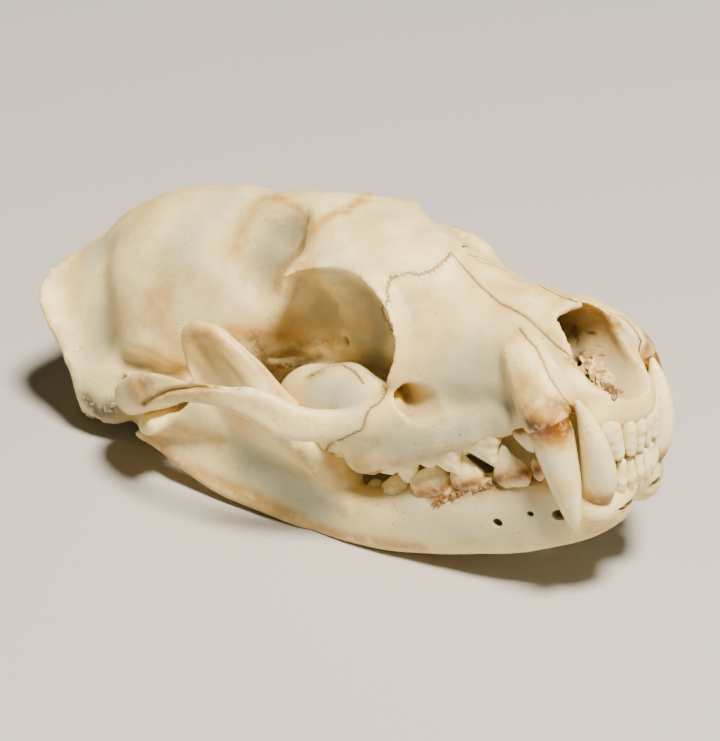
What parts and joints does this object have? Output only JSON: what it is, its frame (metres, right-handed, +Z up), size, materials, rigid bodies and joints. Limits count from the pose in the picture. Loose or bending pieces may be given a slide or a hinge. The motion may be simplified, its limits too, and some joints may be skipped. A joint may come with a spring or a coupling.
{
  "type": "palm civet skull with lower jaw",
  "caption": "Life-size civet skull with its jaw closed: domed braincase, flared rear crest, wide cheek arches, long canines and worn cheek teeth.",
  "frame": {"origin": "centre of the bounding box on the surface that the skull lies on", "axes": "+Z up, +Y from the snout to the back of the skull, +X to the animal's left"},
  "size_m": [0.0594, 0.1086, 0.0491],
  "materials": {
    "bone": "dry bone, satin, warm cream with tan and bluish patches",
    "enamel": "tooth enamel, smooth, cream with stained collars"
  },
  "bodies": {
    "root": {"braincase": "bone", "face": "bone", "nasal_bones": "bone", "premaxilla": "bone", "zygomatic_arch_left": "bone", "zygomatic_arch_right": "bone", "auditory_bulla_left": "bone", "auditory_bulla_right": "bone", "mandible_left": "bone", "mandible_right": "bone", "upper_canine_left": "enamel", "upper_canine_right": "enamel", "lower_canine_left": "enamel", "lower_canine_right": "enamel"}
  },
  "joints": []
}
